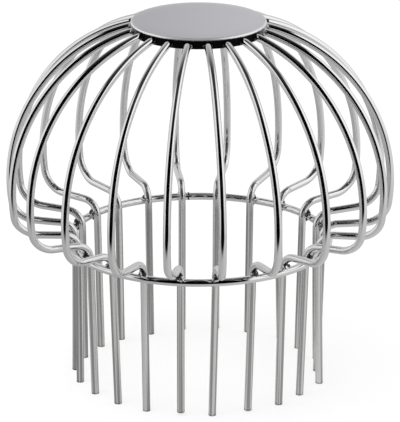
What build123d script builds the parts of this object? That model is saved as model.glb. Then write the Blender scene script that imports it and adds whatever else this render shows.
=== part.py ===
from build123d import *
import os
from math import atan2, cos, degrees, hypot, radians, sin, sqrt, tan

# Domed wire guard that plugs into the mouth of a round rainwater downpipe.
# Millimetres. The origin is the centre of the leg ends, +Z points up along the axis of the dome.

# Cage wires
wire_count = 22             # wires spaced evenly round the axis
wire_dia = 3.0              # round stainless wire
leg_circle_dia = 101.5      # over the outside of the legs, just under the bends
leg_length = 56.6           # leg ends to the start of the bends
leg_lean = 1.5              # degrees, legs closing in towards their ends
leg_bend_radius = 6.5       # centreline radius of the bend from leg to arm
arm_rise = 3.0              # degrees, arms climbing outward
curl_radius = 10.0          # centreline radius of the curl under the dome
widest_rise = 18.0          # arms up to the widest level of the dome
dome_dia = 155.5            # over the outside of the wires at the widest level
dome_rise = 66.55           # widest level up to the top of the cap

# Seat ring
ring_wire_dia = 3.0         # round stainless wire
weld_setdown = 0.25         # depth that the ring is pressed into each leg by the weld

# Crown cap
cap_dia = 53.4              # over the outside of the skirt
cap_flat_dia = 38.0         # flat middle of the pressing
cap_fall = 0.5              # fall from the flat middle to the rim
cap_sheet = 0.6             # sheet thickness
cap_edge_radius = 0.9       # outer radius where the rim turns down into the skirt
skirt_height = 4.65         # top of the cap to the free edge of the skirt
wire_seat_drop = 3.05       # top of the cap down to the wire centrelines on the skirt

# Radii and heights that follow from the sizes above
wire_radius = wire_dia / 2
leg_radius = leg_circle_dia / 2 - wire_radius
dome_reach = dome_dia / 2 - wire_radius
cap_radius = cap_dia / 2
ring_radius = leg_radius + wire_radius + ring_wire_dia / 2 - weld_setdown
ring_height = leg_length


# Centreline of one wire in its radial plane: points are (distance from the axis, height)
def along(point, direction, distance):
    return (point[0] + direction[0] * distance, point[1] + direction[1] * distance)


# The leg stands on the ground plane and leans out as it climbs to the bend
leg_direction = (sin(radians(leg_lean)), cos(radians(leg_lean)))
leg_top = (leg_radius, leg_length)
leg_foot = along(leg_top, leg_direction, -(leg_length + wire_dia) / leg_direction[1])

# The bend turns the wire outward into the arm, which climbs gently
bend_centre = along(leg_top, (leg_direction[1], -leg_direction[0]), leg_bend_radius)
arm_direction = (cos(radians(arm_rise)), sin(radians(arm_rise)))
arm_normal = (-arm_direction[1], arm_direction[0])
arm_start = along(bend_centre, arm_normal, leg_bend_radius)

# The dome is one arc, upright at its widest level, that reaches the skirt at the wire seat
widest_height = arm_start[1] + widest_rise
cap_top = widest_height + dome_rise
wire_seat = (cap_radius, cap_top - wire_seat_drop)
seat_inset = dome_reach - wire_seat[0]
seat_climb = wire_seat[1] - widest_height
dome_radius = (seat_inset ** 2 + seat_climb ** 2) / (2 * seat_inset)
dome_centre = (dome_reach - dome_radius, widest_height)

# The curl touches the arm below and the dome arc inside, which fixes its centre
curl_line = along(arm_start, arm_normal, curl_radius)
from_dome = (curl_line[0] - dome_centre[0], curl_line[1] - dome_centre[1])
lean_in = from_dome[0] * arm_direction[0] + from_dome[1] * arm_direction[1]
arm_length = sqrt(lean_in ** 2 - hypot(*from_dome) ** 2 + (dome_radius - curl_radius) ** 2) - lean_in
arm_end = along(arm_start, arm_direction, arm_length)
curl_centre = along(curl_line, arm_direction, arm_length)
curl_end_angle = degrees(atan2(curl_centre[1] - dome_centre[1], curl_centre[0] - dome_centre[0]))

# The dome arc runs on through the skirt's outer face, so that the wire can be coped to it
seat_angle = degrees(atan2(seat_climb, wire_seat[0] - dome_centre[0]))
cope_angle = degrees(wire_radius / dome_radius)


def radial_plane(azimuth):
    """Upright plane through the axis: its x runs outward at this azimuth, its y runs up."""
    outward = (cos(radians(azimuth)), sin(radians(azimuth)), 0)
    sideways = (sin(radians(azimuth)), -cos(radians(azimuth)), 0)
    return Plane(origin=(0, 0, 0), x_dir=outward, z_dir=sideways)


# Seat ring: one round wire bent into a hoop and closed midway between two legs
with BuildPart() as seat_ring:
    with BuildSketch(radial_plane(180 / wire_count)):
        with Locations((ring_radius, ring_height)):
            Circle(ring_wire_dia / 2)
    revolve(axis=Axis.Z)


def cage_wire(azimuth):
    """One bent wire of the cage, seated on the ring and on the cap's skirt."""
    with BuildPart() as wire:
        with BuildLine(radial_plane(azimuth)) as centreline:
            Line(leg_foot, leg_top)
            CenterArc(bend_centre, leg_bend_radius, 180 - leg_lean, arm_rise + leg_lean - 90)
            Line(arm_start, arm_end)
            CenterArc(curl_centre, curl_radius, arm_rise - 90, curl_end_angle - arm_rise + 90)
            CenterArc(dome_centre, dome_radius, curl_end_angle, seat_angle + cope_angle - curl_end_angle)
        with BuildSketch(Plane(origin=centreline.line @ 0, z_dir=centreline.line % 0)):
            Circle(wire_radius)
        sweep()
        # The top end is coped to the skirt, and the leg is cut off level with its neighbours
        with Locations((0, 0, wire_seat[1])):
            Cylinder(radius=cap_radius, height=2 * wire_seat_drop + 2 * skirt_height, mode=Mode.SUBTRACT)
        split(bisect_by=Plane.XY, keep=Keep.TOP)
        # The ring sits in a shallow saddle on the outside of the leg, where the bend begins
        add(seat_ring.part, mode=Mode.SUBTRACT)
    return wire


wires = [cage_wire(index * 360 / wire_count) for index in range(wire_count)]

# Crown cap: a pressing with a flat middle, a gently falling rim and a short skirt, open below
with BuildPart() as crown_cap:
    with BuildSketch(Plane.XZ):
        with BuildLine() as sheet_line:
            flat = Line((0, cap_top), (cap_flat_dia / 2, cap_top))
            fall = TangentArc(flat @ 1, (cap_radius, cap_top - cap_fall), tangent=flat % 1)
            Line(fall @ 1, (cap_radius, cap_top - skirt_height))
            fillet(sheet_line.vertices().sort_by_distance(fall @ 1)[0], radius=cap_edge_radius)
            offset(amount=cap_sheet, side=Side.RIGHT)
        make_face()
    revolve(axis=Axis.Z)

# Finished pieces
os.makedirs("parts", exist_ok=True)
for number, wire in enumerate(wires, start=1):
    wire.part.label = f"wire_{number:02d}"
    export_step(wire.part, f"parts/wire_{number:02d}.step")
seat_ring.part.label = "seat_ring"
export_step(seat_ring.part, "parts/seat_ring.step")
crown_cap.part.label = "crown_cap"
export_step(crown_cap.part, "parts/crown_cap.step")

print(f"overall height {cap_top:.2f}, dome arc radius {dome_radius:.2f}, arm length {arm_length:.2f}")
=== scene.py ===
# %% [markdown]
# A domed gutter guard
#
# The real object is a strainer that plugs into a rainwater pipe. Twenty-two stainless wires hang from
# a small pressed cap, swell out into a dome, curl back under it and run down as straight legs, and a
# hoop of the same wire is spot welded to them where the legs begin. This lesson dresses the solid
# model: it loads the solids, sets a camera, builds a studio for bright metal, bends each wire as the
# picture shows it, adds the welds, and gives each piece its finish.

from math import atan2, cos, hypot, pi, radians, sin, sqrt

import bpy
import bmesh
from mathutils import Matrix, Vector, noise


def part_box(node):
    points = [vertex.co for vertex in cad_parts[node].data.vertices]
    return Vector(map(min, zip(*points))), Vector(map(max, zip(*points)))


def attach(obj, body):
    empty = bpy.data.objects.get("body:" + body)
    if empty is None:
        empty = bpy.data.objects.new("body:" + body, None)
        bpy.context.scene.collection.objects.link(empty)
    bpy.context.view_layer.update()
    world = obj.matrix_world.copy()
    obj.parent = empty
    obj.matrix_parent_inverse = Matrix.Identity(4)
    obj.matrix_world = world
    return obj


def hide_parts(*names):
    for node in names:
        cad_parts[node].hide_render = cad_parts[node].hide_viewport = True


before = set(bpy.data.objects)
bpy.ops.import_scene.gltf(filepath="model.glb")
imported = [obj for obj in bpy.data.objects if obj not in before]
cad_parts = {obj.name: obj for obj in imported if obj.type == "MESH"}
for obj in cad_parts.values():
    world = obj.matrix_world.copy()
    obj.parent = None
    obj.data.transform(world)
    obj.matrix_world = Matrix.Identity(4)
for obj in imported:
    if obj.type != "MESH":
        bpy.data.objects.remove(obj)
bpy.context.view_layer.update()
wire_names = sorted(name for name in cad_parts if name.startswith("wire_"))
print("solids loaded:", len(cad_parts), "of which wires:", len(wire_names))

# %% [markdown]
# Sizes
#
# Most sizes are read from the boxes of the solids, so that the scene follows them. What a box doesn't
# give directly, such as an angle or the radius of a bend, is repeated here from the solid model.
# Everything is in metres.

# %% Sizes
mm = 0.001
wire_radius = 1.5 * mm
ring_low, ring_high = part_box("seat_ring")
cap_low, cap_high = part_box("crown_cap")
ring_level = (ring_low.z + ring_high.z) / 2
ring_radius = ring_high.x - wire_radius
cap_radius = cap_high.x
cap_top = cap_high.z
skirt_foot = cap_low.z
dome_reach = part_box("wire_01")[1].x - wire_radius
weld_setdown = 0.25 * mm
leg_radius = ring_radius - 2 * wire_radius + weld_setdown
leg_lean = radians(1.5)
leg_bend_radius = 6.5 * mm
arm_rise = radians(3.0)
curl_radius = 10.0 * mm
widest_rise = 18.0 * mm
seat_drop = 3.05 * mm
print(f"ring at {ring_level / mm:.1f} mm, cap from {skirt_foot / mm:.1f} to {cap_top / mm:.1f} mm")

# %% [markdown]
# Shader maths as Python
#
# A finish is a small graph of nodes. Wiring it by hand is slow to read, so one class wraps a socket:
# adding or multiplying two wrapped sockets adds the Math node that does it, and `node` makes any
# other node from its type, its settings and the values of its sockets.

# %% A socket that can be used in expressions
class Socket:
    """One output socket of a node tree, ready for arithmetic."""

    def __init__(self, tree, output=None):
        self.tree = tree
        self.output = output

    def node(self, kind, settings=None, values=None, output=0):
        """Adds a node, sets its settings first, then its sockets, and returns the chosen output."""
        made = self.tree.nodes.new(kind)
        for name, value in (settings or {}).items():
            setattr(made, name, value)
        for name, value in (values or {}).items():
            if isinstance(value, Socket):
                self.tree.links.new(value.output, made.inputs[name])
            else:
                made.inputs[name].default_value = value
        return Socket(self.tree, made.outputs[output]) if made.outputs else made

    def maths(self, operation, first, second=0.0):
        return self.node("ShaderNodeMath", {"operation": operation}, {0: first, 1: second})

    def __add__(self, other):
        return self.maths("ADD", self, other)

    def __radd__(self, other):
        return self.maths("ADD", other, self)

    def __sub__(self, other):
        return self.maths("SUBTRACT", self, other)

    def __rsub__(self, other):
        return self.maths("SUBTRACT", other, self)

    def __mul__(self, other):
        return self.maths("MULTIPLY", self, other)

    def __rmul__(self, other):
        return self.maths("MULTIPLY", other, self)

    def __truediv__(self, other):
        return self.maths("DIVIDE", self, other)

    def __rtruediv__(self, other):
        return self.maths("DIVIDE", other, self)

    def rise(self, low, high):
        """0 below low, 1 above high, and a smooth ramp between them."""
        settings = {"interpolation_type": "SMOOTHSTEP"}
        return self.node("ShaderNodeMapRange", settings, {"Value": self, "From Min": low, "From Max": high})

    def colour(self, first, second):
        """Mixes two colours by this mask: 0 gives the first and 1 the second."""
        return self.node("ShaderNodeMix", {"data_type": "RGBA"}, {"Factor": self, 6: first, 7: second}, 2)

    def part(self, axis):
        """The X, Y or Z of a vector socket."""
        return self.node("ShaderNodeSeparateXYZ", None, {"Vector": self}, axis)

    def scaled(self, factors):
        """A vector socket, scaled by three factors."""
        return self.node("ShaderNodeVectorMath", {"operation": "MULTIPLY"}, {0: self, 1: factors})

    def grain(self, scale, detail=2.0):
        """Noise from 0 to 1 that reads this vector socket."""
        values = {"Vector": self, "Scale": scale, "Detail": detail}
        return self.node("ShaderNodeTexNoise", None, values, "Fac")


def grey(level, tint=(1.0, 1.0, 1.0)):
    """A colour from one level of brightness and a faint tint."""
    return (level * tint[0], level * tint[1], level * tint[2], 1.0)


def new_material(name):
    """An empty node material, with a wrapper to build in it."""
    material = bpy.data.materials.new(name)
    material.use_nodes = True
    material.node_tree.nodes.clear()
    return material, Socket(material.node_tree)


def placed(name, data):
    """A new object that shows this data, linked into the scene."""
    made = bpy.data.objects.new(name, data)
    bpy.context.scene.collection.objects.link(made)
    return made


print("socket class ready")

# %% [markdown]
# Camera
#
# A camera was fitted to the picture by matching the ends of the legs, the ring, the widest points of
# the wires and the cap. It stands about 1.25 m away and looks 19 degrees down through a long lens,
# so the far side of the guard is only a little smaller than the near side.

# %% Camera
# The focal length is in pixels of the picture, whose longer side is 422 of them. The lens wants
# millimetres, on a sensor that is 36 wide.
focal_pixels, picture_pixels, sensor_width = 3314.57, 422, 36
turn, look_down, aim_aside = radians(0.79), radians(19), radians(0.049)
aside, back, lens_height = 1.592 * mm, 1250.0 * mm, 498.43 * mm
camera_data = bpy.data.cameras.new("picture_lens")
camera_data.lens = focal_pixels * sensor_width / picture_pixels
camera = placed("picture_camera", camera_data)
camera_x = aside * cos(turn) + back * sin(turn)
camera_y = aside * sin(turn) - back * cos(turn)
camera.location = (camera_x, camera_y, lens_height)
camera.rotation_euler = (pi / 2 - look_down, 0, turn + aim_aside)
bpy.context.scene.camera = camera
bpy.context.scene.view_settings.view_transform = "Standard"
print("camera at", [round(value, 3) for value in camera.location], "lens", round(camera_data.lens, 1))

# %% [markdown]
# Studio
#
# Bright round wire shows nothing but its surroundings, so the light is mostly what there is to see in
# the metal. The picture is a catalogue one: white beside the guard, a dark card in front that arches
# over the camera and draws a black line down each wire, and pale grey behind, which gives the wires
# soft edges. The card is a little narrower overhead, because the lines in the picture get thinner
# towards the cap. The world could hold real cards, but a few masks on the direction of a mirror ray
# do the same without noise. The camera itself sees plain white, and so does all that isn't a mirror.

# %% World
# A direction is a vector of length 1, so 0.7 to the side is about 45 degrees off the middle.
card_right, card_left, soft_edge = 0.645, 0.775, 0.06
narrower_right, narrower_left = 0.18, 0.27
black, overhead_black = grey(0.0), grey(0.05)
side_white, bright_white = grey(0.86), grey(1.02)
back_grey, side_grey = grey(0.66), grey(0.68)
world = bpy.data.worlds.new("studio")
bpy.context.scene.world = world
world.use_nodes = True
world.node_tree.nodes.clear()
studio = Socket(world.node_tree)
direction = studio.node("ShaderNodeTexCoord", None, None, "Generated")
sideways, away, upward = (direction.part(axis) for axis in "XYZ")
inset_right = upward.rise(0.25, 0.85) * narrower_right
inset_left = upward.rise(0.25, 0.95) * narrower_left
past_right = (sideways + inset_right).rise(card_right, card_right + soft_edge)
past_left = (inset_left - sideways).rise(card_left, card_left + soft_edge)
in_arch = (1 - past_right) * (1 - past_left)
overhead = upward.rise(0.8, 1.05).colour(black, overhead_black)
arch = away.rise(0.2, 0.85).colour(overhead, back_grey)
right_front = upward.rise(0.0, 0.35).colour(side_white, bright_white)
right_side = away.rise(0.35, 0.7).colour(right_front, side_grey)
beside = sideways.rise(-0.3, 0.3).colour(side_white, right_side)
mirror_sky = in_arch.colour(beside, arch)
is_glossy = studio.node("ShaderNodeLightPath", None, None, "Is Glossy Ray")
in_metal = studio.node("ShaderNodeBackground", None, {"Color": mirror_sky, "Strength": 1.0})
plain = studio.node("ShaderNodeBackground", None, {"Color": grey(1.0), "Strength": 1.0})
surroundings = studio.node("ShaderNodeMixShader", None, {0: is_glossy, 1: plain, 2: in_metal})
studio.node("ShaderNodeOutputWorld", None, {"Surface": surroundings})
print("world nodes:", len(studio.tree.nodes))

# %% [markdown]
# Floor
#
# The guard stands on white paper that runs out of sight. The camera sees it as paper: most of its
# white glows, so that the background stays white while the soft shadow of the legs still shows. In
# the metal the paper is darker close to the guard, where the legs keep the light off it. In front,
# the dark card goes on over it and ends some 20 cm from the axis, on a soft and slightly slanted
# edge, so that the black lines fade out on the curls.

# %% Floor
paper_reach = 6.0
floor_card_right, floor_card_left = 0.62, 0.69
card_slope, card_ends = 0.2, (-0.275, -0.185)
never_zero = 1 * mm
glow_share = 0.72
floor_mesh = bpy.data.meshes.new("floor")
signs = [(-1, -1), (1, -1), (1, 1), (-1, 1)]
corners = [(paper_reach * across, paper_reach * along, 0) for across, along in signs]
floor_mesh.from_pydata(corners, [], [(0, 1, 2, 3)])
floor = placed("floor", floor_mesh)
paper, nodes = new_material("white_paper")
on_floor = nodes.node("ShaderNodeTexCoord", None, None, "Object")
floor_x, floor_y = on_floor.part("X"), on_floor.part("Y")
distance = nodes.maths("SQRT", floor_x * floor_x + floor_y * floor_y)
slant = floor_x / nodes.maths("MAXIMUM", distance, never_zero)
off_right = slant.rise(floor_card_right, floor_card_right + soft_edge)
off_left = (0.0 - slant).rise(floor_card_left, floor_card_left + soft_edge)
card_edge = floor_y + floor_x * card_slope
card = (1 - off_right) * (1 - off_left) * (1 - card_edge.rise(*card_ends))
near_paper = slant.rise(-0.8, 0.9).colour(grey(0.43), grey(0.57))
far_paper = slant.rise(-0.5, 0.5).colour(grey(0.69), grey(0.72))
bare_paper = distance.rise(0.17, 0.42).colour(near_paper, far_paper)
mirror_paper = card.colour(bare_paper, black)
diffuse = nodes.node("ShaderNodeBsdfDiffuse", None, {"Color": grey(0.97)})
glow = nodes.node("ShaderNodeEmission", None, {"Color": grey(1.0), "Strength": 1.0})
seen_plain = nodes.node("ShaderNodeMixShader", None, {0: glow_share, 1: diffuse, 2: glow})
seen_in_metal = nodes.node("ShaderNodeEmission", None, {"Color": mirror_paper, "Strength": 1.0})
is_glossy = nodes.node("ShaderNodeLightPath", None, None, "Is Glossy Ray")
surface = nodes.node("ShaderNodeMixShader", None, {0: is_glossy, 1: seen_plain, 2: seen_in_metal})
nodes.node("ShaderNodeOutputMaterial", None, {"Surface": surface})
floor_mesh.materials.append(paper)
print("floor nodes:", len(nodes.tree.nodes))

# %% [markdown]
# Lamp
#
# The world lights the paper and the cap evenly, and even light casts hardly a shadow. One wide lamp
# high up adds the soft one. It is kept out of mirror rays, or it would draw a spot on every wire.

# %% Soft lamp
lamp_target = Vector((0, 0, 0.06))
lamp_data = bpy.data.lights.new("soft_lamp", "AREA")
lamp_data.shape = "DISK"
lamp_data.size = 1.2
lamp_data.energy = 8.0
lamp = placed("soft_lamp", lamp_data)
lamp.location = (-0.5, -0.3, 1.6)
lamp.rotation_euler = (lamp_target - lamp.location).to_track_quat("-Z", "Y").to_euler()
lamp.visible_glossy = False
print("lamp set:", lamp_data.energy, "W,", round(lamp_data.size, 2), "m wide")

# %% [markdown]
# Line of a wire
#
# Each wire lies in an upright plane through the axis. From the ground up it is a straight leg that
# leans out a little, a tight bend, a short arm that climbs outward, a curl, and one long arc over the
# dome to the cap. Every part starts where the one before it ends and in the same direction, so the
# arcs are worked out from their radii, as in the solid model.

# %% Points along one wire
leg_points, bend_points, arm_points, curl_points, dome_points = 26, 14, 5, 20, 56


def step(point, heading, length):
    """The point that lies this far from another one in the given direction."""
    return (point[0] + heading[0] * length, point[1] + heading[1] * length)


def arc_points(centre, radius, first, last, count):
    """Points on an arc, without its first one."""
    turns = [first + (last - first) * index / count for index in range(1, count + 1)]
    return [step(centre, (cos(angle), sin(angle)), radius) for angle in turns]


def wire_line():
    """(distance from the axis, height) of each point from the leg end to the cap."""
    leg_heading = (sin(leg_lean), cos(leg_lean))
    leg_head = (leg_radius, ring_level)
    leg_end = step(leg_head, leg_heading, -ring_level / leg_heading[1])
    bend_centre = step(leg_head, (leg_heading[1], -leg_heading[0]), leg_bend_radius)
    arm_heading = (cos(arm_rise), sin(arm_rise))
    arm_normal = (-arm_heading[1], arm_heading[0])
    arm_start = step(bend_centre, arm_normal, leg_bend_radius)
    widest = arm_start[1] + widest_rise
    seat = (cap_radius, cap_top - seat_drop)
    inset, climb = dome_reach - seat[0], seat[1] - widest
    dome_radius = (inset ** 2 + climb ** 2) / (2 * inset)
    dome_centre = (dome_reach - dome_radius, widest)
    curl_line = step(arm_start, arm_normal, curl_radius)
    offset = (curl_line[0] - dome_centre[0], curl_line[1] - dome_centre[1])
    lean_in = offset[0] * arm_heading[0] + offset[1] * arm_heading[1]
    arm_length = sqrt(lean_in ** 2 - hypot(*offset) ** 2 + (dome_radius - curl_radius) ** 2) - lean_in
    curl_centre = step(curl_line, arm_heading, arm_length)
    curl_end = atan2(curl_centre[1] - dome_centre[1], curl_centre[0] - dome_centre[0])
    seat_angle = atan2(climb, seat[0] - dome_centre[0])
    leg_stride = ring_level / leg_heading[1] / leg_points
    arm_stride = arm_length / arm_points
    line = [step(leg_end, leg_heading, leg_stride * index) for index in range(leg_points + 1)]
    line += arc_points(bend_centre, leg_bend_radius, pi - leg_lean, pi / 2 + arm_rise, bend_points)
    line += [step(arm_start, arm_heading, arm_stride * index) for index in range(1, arm_points + 1)]
    line += arc_points(curl_centre, curl_radius, arm_rise - pi / 2, curl_end, curl_points)
    line += arc_points(dome_centre, dome_radius, curl_end, seat_angle, dome_points)
    return line


line = wire_line()
line_length = sum(hypot(there[0] - here[0], there[1] - here[1]) for here, there in zip(line, line[1:]))
print("points along a wire:", len(line), "length", round(line_length / mm, 1), "mm")

# %% [markdown]
# Hand-bent wires
#
# The solids are all alike, but the real wires look bent and welded one by one. In the picture some
# legs sit up to a millimetre and a half off their place on the ring, some feet stray, some curls are
# higher, and some wires sway to one side or bulge less than the rest. Each wire is therefore swept
# again along its own line. A ruler laid over the picture and over a render of the even pattern shows
# which wires are off it and by how much.

# %% Wires off the even pattern
# All in millimetres. Wire 1 points to the right of the picture, and the numbers run anticlockwise.
slip_on_ring = {3: -0.7, 6: 0.4, 7: 0.6, 8: 1.0, 9: 1.5, 10: 0.5, 14: -1.3, 15: -0.9, 17: 0.8, 18: 0.3,
                19: 1.1, 20: 1.3, 21: 1.5, 22: 1.5}
sway_of_dome = {5: -0.7, 8: 1.0, 9: 0.8, 10: 0.5, 14: -0.8, 15: -0.4, 16: -0.5, 18: -0.6, 19: -0.5,
                20: -0.3}
bulge_of_dome = {12: -1.1, 13: -0.4, 22: -0.4}
lift_of_curl = {2: 0.5, 3: 0.5, 4: 0.7, 5: 0.6, 8: -0.5, 11: 0.3, 12: 0.8, 13: 1.2, 14: 0.6, 15: 0.6,
                17: 1.6, 18: 1.3, 19: 0.7, 20: 0.8, 21: 0.8, 22: 0.5}

# Every wire is drawn in by this much on the dome, so that none stands out of the solids.
inside_solid = -0.1

# Where a foot stands, seen from its place in the even pattern: to the right, away from the camera,
# and up. A foot that isn't listed goes straight on from its weld.
stray_feet = {
    2: (2.0, 0.0, 0.0),
    4: (2.0, 0.0, 0.0),
    7: (-0.9, -1.3, 0.0),
    8: (-0.8, -3.0, 0.0),
    9: (-1.4, -2.0, 0.0),
    10: (-0.5, 0.0, 0.0),
    11: (-1.1, 0.0, 0.0),
    12: (-2.0, 0.0, 0.0),
    13: (-1.5, 0.0, 0.0),
    14: (-0.6, 0.0, 0.0),
    15: (0.0, 0.0, 0.0),
    17: (0.5, 0.0, 1.0),
    18: (-0.8, -0.5, 0.0),
    19: (0.1, 0.0, 0.5),
    20: (0.8, 0.0, 0.0),
    21: (0.3, 0.0, 0.0),
    22: (2.7, 0.0, 0.0),
}

# Spans of points, counted from the foot, over which each kind of unevenness comes in or fades out.
# The leg ends at point 26, the bend at 40, the arm at 45, the curl at 65 and the dome at 121.
leaves_ring = (38, 60)
enters_curl, leaves_curl = (36, 52), (52, 68)
enters_dome, nears_cap = (38, 66), (92, 121)

# A power above 1, so that a leg leaves its weld gently and strays more towards its foot.
leg_curve = 1.15


def ease(value, low, high):
    """0 below low, 1 above high, and a smooth ramp between them."""
    share = min(1.0, max(0.0, (value - low) / (high - low)))
    return share * share * (3 - 2 * share)


def wire_axes(number):
    """Outward and sideways directions at one wire, both level."""
    azimuth = 2 * pi * (number - 1) / len(wire_names)
    return Vector((cos(azimuth), sin(azimuth), 0)), Vector((-sin(azimuth), cos(azimuth), 0))


def drift(number, index):
    """How far one point of a wire's line lies off the even pattern, in metres."""
    outward, sideward = wire_axes(number)
    slip = sideward * slip_on_ring.get(number, 0.0)
    foot = Vector(stray_feet.get(number, slip))
    down_leg = max(0.0, 1 - index / leg_points) ** leg_curve
    on_ring = 1 - ease(index, *leaves_ring)
    on_curl = ease(index, *enters_curl) * (1 - ease(index, *leaves_curl))
    on_dome = ease(index, *enters_dome) * (1 - ease(index, *nears_cap))
    off = slip.lerp(foot, down_leg) * on_ring
    off += outward * (bulge_of_dome.get(number, 0.0) + inside_solid) * on_dome
    off += sideward * sway_of_dome.get(number, 0.0) * on_dome
    off.z += lift_of_curl.get(number, 0.0) * on_curl
    return off * mm


print("feet placed one by one:", len(stray_feet), "and wires that sway on the dome:", len(sway_of_dome))

# %% One swept wire
# Points round the section of a wire.
around = 24

# The wire meets the skirt at a slight slope, so the way along it is a little longer than the way in.
cope_stretch = 1.02

# Shifts each wire into a part of the noise of its own, so that no two have the same streaks.
streak_shift = 1000


def smooth_mesh(name, points, faces):
    """A new object from points and faces, shaded smooth."""
    mesh = bpy.data.meshes.new(name)
    mesh.from_pydata(points, [], faces)
    mesh.shade_smooth()
    return placed(name, mesh)


def bent_wire(number):
    """Sweeps a round section along the line of one wire, and keeps where each point lies on it."""
    outward, sideward = wire_axes(number)
    path = []
    for index, (radius, height) in enumerate(line):
        path.append(outward * radius + Vector((0, 0, height)) + drift(number, index))
    last = len(path) - 1
    points, runs, faces = [], [], []
    walked = 0.0
    for index, centre in enumerate(path):
        ahead = path[min(index + 1, last)] - path[max(index - 1, 0)]
        ahead.normalize()
        across = ahead.cross(sideward).normalized()
        beside_wire = ahead.cross(across)
        walked += (centre - path[max(index - 1, 0)]).length
        for corner in range(around):
            angle = 2 * pi * corner / around
            offset = (across * cos(angle) + beside_wire * sin(angle)) * wire_radius
            point = centre + offset
            # The foot is cut level, and the top end follows the round of the skirt.
            if index == 0:
                point = point - ahead * ((point.z - centre.z) / ahead.z)
            if index == last:
                reach_in = hypot(point.x, point.y) - cap_radius
                point = point + ahead * max(0.0, reach_in * cope_stretch)
            points.append(point)
            runs.append((cos(angle), sin(angle), walked / wire_radius + streak_shift * number))
    for ring in range(last):
        for corner in range(around):
            beyond = (corner + 1) % around
            low, high = ring * around, (ring + 1) * around
            faces.append((low + corner, low + beyond, high + beyond, high + corner))
    faces.append(tuple(reversed(range(around))))
    faces.append(tuple(last * around + corner for corner in range(around)))
    made = smooth_mesh(f"bent_wire_{number:02d}", points, faces)
    run = made.data.attributes.new("run", "FLOAT_VECTOR", "POINT")
    for stored, value in zip(run.data, runs):
        stored.vector = value
    return made


wires = []
for number, name in enumerate(wire_names, start=1):
    wire = bent_wire(number)
    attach(wire, "root")
    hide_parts(name)
    wires.append(wire)
print("swept wires:", len(wires), "with", len(wires[0].data.polygons), "faces each")

# %% [markdown]
# Welds
#
# Every wire is spot welded to the ring in the corner under its bend, and the weld leaves a small
# bright lump there. A sphere would look like a bead, so each lump starts as a subdivided ball and is
# pushed in and out by noise, and no two are alike. The ring itself is one wire with its ends joined,
# and that joint shows as a lump at the back. Small lumps also hold the wires to the cap's skirt.

# %% Lumps
broad_dent, fine_dent = 0.28, 0.10


def add_lump(lumps, centre, outward, size, seed):
    """Adds an uneven ball to a bmesh: size is (outward, sideways, upward)."""
    made = bmesh.ops.create_icosphere(lumps, subdivisions=3, radius=1.0)["verts"]
    sideward = Vector((-outward.y, outward.x, 0))
    for vertex in made:
        unit = vertex.co.normalized()
        dent = 1 + broad_dent * noise.noise(unit * 1.7 + Vector((seed * 3.7, seed, 0)))
        dent += fine_dent * noise.noise(unit * 4.5 + Vector((seed, 0, seed * 2.3)))
        local = unit * dent
        vertex.co = centre + outward * (local.x * size[0]) + sideward * (local.y * size[1])
        vertex.co.z += local.z * size[2]


def lump_object(name, lumps):
    """A new smooth object from a bmesh of lumps, which rides with the part."""
    mesh = bpy.data.meshes.new(name)
    lumps.to_mesh(mesh)
    lumps.free()
    mesh.shade_smooth()
    made = placed(name, mesh)
    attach(made, "root")
    return made


print("lumps are dented by up to", broad_dent, "and", fine_dent, "of their radius")

# %% Lumps on the ring and on the cap
# Two lumps at each leg, measured from the lines of the leg and of the ring: one nests on top of the
# ring, in the bend, and a smaller one sits under it. Both stray a little to the side.
nest_out, nest_up, nest_size = 2.1 * mm, 1.75 * mm, (1.3 * mm, 1.7 * mm, 1.25 * mm)
under_out, under_down, under_size = 1.5 * mm, 1.3 * mm, (0.6 * mm, 1.0 * mm, 0.7 * mm)
weld_stray = 0.5 * mm
under_seed, joint_seed = 40, 77
lumps = bmesh.new()
for number in range(1, len(wire_names) + 1):
    outward, sideward = wire_axes(number)
    stray = weld_stray * noise.noise(Vector((number * 5.1, 0.3, 0)))
    aside_leg = sideward * (slip_on_ring.get(number, 0.0) * mm + stray)
    nest = outward * (leg_radius + nest_out) + Vector((0, 0, ring_level + nest_up)) + aside_leg
    add_lump(lumps, nest, outward, nest_size, number)
    under = outward * (leg_radius + under_out) + Vector((0, 0, ring_level - under_down)) + aside_leg
    add_lump(lumps, under, outward, under_size, number + under_seed)
ring_welds = lump_object("ring_welds", lumps)

# The ring's joint is at the back, a little to the left of the middle.
joint_azimuth = radians(95.49)
joint_size = (1.65 * mm, 0.9 * mm, 1.65 * mm)
joint_outward = Vector((cos(joint_azimuth), sin(joint_azimuth), 0))
joint_centre = joint_outward * ring_radius + Vector((0, 0, ring_level))
lumps = bmesh.new()
add_lump(lumps, joint_centre, joint_outward, joint_size, joint_seed)
ring_joint = lump_object("ring_joint", lumps)

# Two small lumps at the top end of each wire, one on either side of it.
toe_out, toe_aside, toe_drop, toe_size = 0.15 * mm, 1.35 * mm, 0.5 * mm, (0.4 * mm, 0.5 * mm, 0.8 * mm)
lumps = bmesh.new()
for number in range(1, len(wire_names) + 1):
    outward, sideward = wire_axes(number)
    for hand in (-1, 1):
        toe = outward * (cap_radius + toe_out) + sideward * (hand * toe_aside)
        toe.z = cap_top - seat_drop - toe_drop
        add_lump(lumps, toe, outward, toe_size, number * 2 + hand)
cap_welds = lump_object("cap_welds", lumps)
print("lumps on the ring:", 2 * len(wires) + 1, "and on the cap:", 2 * len(wires))

# %% [markdown]
# Wire finish
#
# The wire is drawn stainless that was polished bright on the dome and left rougher on the legs. On the
# legs, light and dark streaks along the wire are painted into its colour as painted reflections, mixed with
# faint drawn lines. Drawing leaves faint lines along the wire, so the noise is read in the wire's own
# space, which was kept while it was swept, and stretched along it. A slow noise in the bump makes the
# reflections waver.

# %% Waver in the polish
bright_steel = grey(0.86)
mirror_roughness, mottle_roughness = 0.045, 0.03


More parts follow.
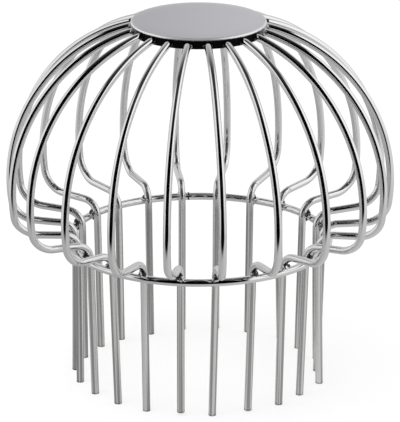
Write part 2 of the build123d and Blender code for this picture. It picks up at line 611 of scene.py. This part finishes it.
def polish(nodes, spot):
    """Roughness and normal of polished wire: a faint mottle, and a slow waver in the reflections."""
    roughness = mirror_roughness + spot.grain(scale=260.0, detail=3.0) * mottle_roughness
    waver = {"Strength": 0.035, "Distance": 0.4 * mm, "Height": spot.grain(scale=90.0, detail=1.0)}
    return roughness, nodes.node("ShaderNodeBump", None, waver)


def finish_material(nodes, values):
    """Closes a material with one Principled shader and its output."""
    shader = nodes.node("ShaderNodeBsdfPrincipled", None, values)
    nodes.node("ShaderNodeOutputMaterial", None, {"Surface": shader})


def dress(piece, material):
    """Gives a piece this material alone."""
    piece.data.materials.clear()
    piece.data.materials.append(material)


print("polish ready")

# %% Polished wire, rougher on the legs and with painted streaks there
# On the legs the band noise paints light and dark streaks along each wire as painted reflections, with the
# faint drawn lines mixed in. The light streaks are also made a little less metal.
line_stretch, painted_streak_stretch = (1.0, 1.0, 0.02), (1.0, 1.0, 0.004)
painted_streak_share, painted_streak_diffuse = 0.65, 0.10
leg_roughness, line_roughness = 0.05, 0.12
dark_streak_steel, pale_streak_steel = grey(0.37), grey(0.96, (1.0, 0.995, 0.985))
wire_steel, nodes = new_material("polished_wire")
spot = nodes.node("ShaderNodeTexCoord", None, None, "Object")
run = nodes.node("ShaderNodeAttribute", {"attribute_name": "run"}, None, "Vector")
leg = 1 - spot.part("Z").rise(ring_level - 5 * mm, ring_level + 3 * mm)
drawn = run.scaled(line_stretch).grain(scale=5.0, detail=4.0)
# Painted reflections: light and dark streaks along the leg, from the band noise.
painted_streaks = run.scaled(painted_streak_stretch).grain(scale=1.5, detail=1.0).rise(0.46, 0.55)
painted_streaks_and_lines = (painted_streaks * painted_streak_share + drawn * (1 - painted_streak_share)).colour(dark_streak_steel, pale_streak_steel)
roughness, waver = polish(nodes, spot)
lines = {"Strength": 0.12, "Distance": 0.1 * mm, "Height": leg * drawn, "Normal": waver}
finish_material(nodes, {
    "Base Color": leg.colour(bright_steel, painted_streaks_and_lines),
    "Metallic": 1 - leg * painted_streaks * painted_streak_diffuse,
    "Roughness": roughness + leg * (leg_roughness + drawn * line_roughness),
    "Normal": nodes.node("ShaderNodeBump", None, lines),
})
for wire, name in zip(wires, wire_names):
    dress(wire, wire_steel)
    dress(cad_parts[name], wire_steel)
print("wires in polished steel:", len(wires))

# %% Polished ring
ring_steel, nodes = new_material("polished_ring")
roughness, waver = polish(nodes, nodes.node("ShaderNodeTexCoord", None, None, "Object"))
ring_values = {"Base Color": bright_steel, "Metallic": 1.0, "Roughness": roughness, "Normal": waver}
finish_material(nodes, ring_values)
dress(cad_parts["seat_ring"], ring_steel)
print("ring in polished steel")

# %% [markdown]
# Weld finish
#
# A weld is steel that melted and froze: lumpy, and mostly dark in patches laid by a noise, with bright
# steel between them. The same noise that darkens it also roughens it.

# %% Weld metal
crest_steel, dark_weld_patch = grey(0.92), grey(0.07, (1.0, 0.96, 0.92))
crest_roughness, dark_patch_roughness = 0.10, 0.25
weld_metal, nodes = new_material("weld_metal")
spot = nodes.node("ShaderNodeTexCoord", None, None, "Object")
# Dark in patches where a noise is high, bright steel elsewhere.
scale = spot.grain(scale=700.0, detail=2.0).rise(0.36, 0.47)
ripple = {"Strength": 0.4, "Distance": 0.2 * mm, "Height": spot.grain(scale=1400.0)}
finish_material(nodes, {
    "Base Color": scale.colour(crest_steel, dark_weld_patch),
    "Metallic": 1.0,
    "Roughness": crest_roughness + scale * dark_patch_roughness,
    "Normal": nodes.node("ShaderNodeBump", None, ripple),
})
weld_pieces = (ring_welds, ring_joint, cap_welds)
for piece in weld_pieces:
    dress(piece, weld_metal)
print("pieces of weld metal:", len(weld_pieces))

# %% [markdown]
# Cap finish
#
# The cap is pressed from sheet and left satin, a little lilac beside the bright wire, and painted brighter
# on one side as painted light. It is paler towards the rim, most of all at the back, and a thin bright line
# where the rim turns down is a painted highlight. Its skirt is nearly black, most of all in front. The dark
# skirt comes from the height of a point, and the paler rim from its distance to the axis.

# %% Masks of the cap
darkest_below, dark_gone_above, dark_edge_ragged = cap_top - 1.5 * mm, cap_top - 1.1 * mm, 0.5 * mm
lighter_behind, rim_paling, back_paling = 0.8, 0.35, 0.5
satin, nodes = new_material("pressed_cap")
spot = nodes.node("ShaderNodeTexCoord", None, None, "Object")
across, backward, height = (spot.part(axis) for axis in "XYZ")
from_axis = nodes.maths("SQRT", across * across + backward * backward)
# Below a ragged height the skirt is coloured nearly black, and less so behind.
ragged = height + (spot.grain(scale=700.0) - 0.5) * dark_edge_ragged
on_skirt = 1 - ragged.rise(darkest_below, dark_gone_above)
dark_skirt = on_skirt * (1 - backward.rise(-15 * mm, -4 * mm) * lighter_behind)
# Paler towards the rim over a narrow band, and over a wider band at the back.
paler_rim = from_axis.rise(cap_radius - 1.8 * mm, cap_radius - 0.3 * mm) * rim_paling
paler_back = from_axis.rise(cap_radius - 6.0 * mm, cap_radius) * backward.rise(2 * mm, 20 * mm) * back_paling
# A painted highlight: a thin bright line where the rim turns down, painted paler and partly diffuse.
on_turn = height.rise(cap_top - 1.3 * mm, cap_top - 1.0 * mm)
painted_rim_highlight = from_axis.rise(cap_radius - 0.6 * mm, cap_radius - 0.35 * mm) * on_turn
print("masks of the cap ready")

# %% Satin cap
lilac = (1.0, 0.985, 1.05)
shaded_satin, lit_satin = grey(0.595, lilac), grey(0.80, lilac)
rim_highlight_steel, skirt_black = grey(0.9), grey(0.012)
painted_side_light_share, rim_highlight_diffuse = 0.7, 0.25
satin_roughness, cloud_roughness, fine_roughness, dark_skirt_roughness = 0.34, 0.05, 0.04, 0.3
cloud = spot.grain(scale=55.0, detail=3.0)
fine = spot.grain(scale=2400.0, detail=2.0)
# Painted light: the cap is painted brighter towards the right, with a random cloudy tone mixed in.
painted_side_light_and_cloud = across.rise(-30 * mm, 30 * mm) * painted_side_light_share + cloud * (1 - painted_side_light_share)
sheet = painted_side_light_and_cloud.colour(shaded_satin, lit_satin)
sheet_with_paler_rim = (paler_rim + paler_back).colour(sheet, bright_steel)
uneven = cloud * cloud_roughness + fine * fine_roughness + dark_skirt * dark_skirt_roughness
grit = {"Strength": 0.10, "Distance": 0.05 * mm, "Height": fine}
finish_material(nodes, {
    "Base Color": dark_skirt.colour(painted_rim_highlight.colour(sheet_with_paler_rim, rim_highlight_steel), skirt_black),
    "Metallic": 1 - painted_rim_highlight * rim_highlight_diffuse,
    "Roughness": satin_roughness + uneven,
    "Normal": nodes.node("ShaderNodeBump", None, grit),
})
dress(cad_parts["crown_cap"], satin)
print("cap finished")
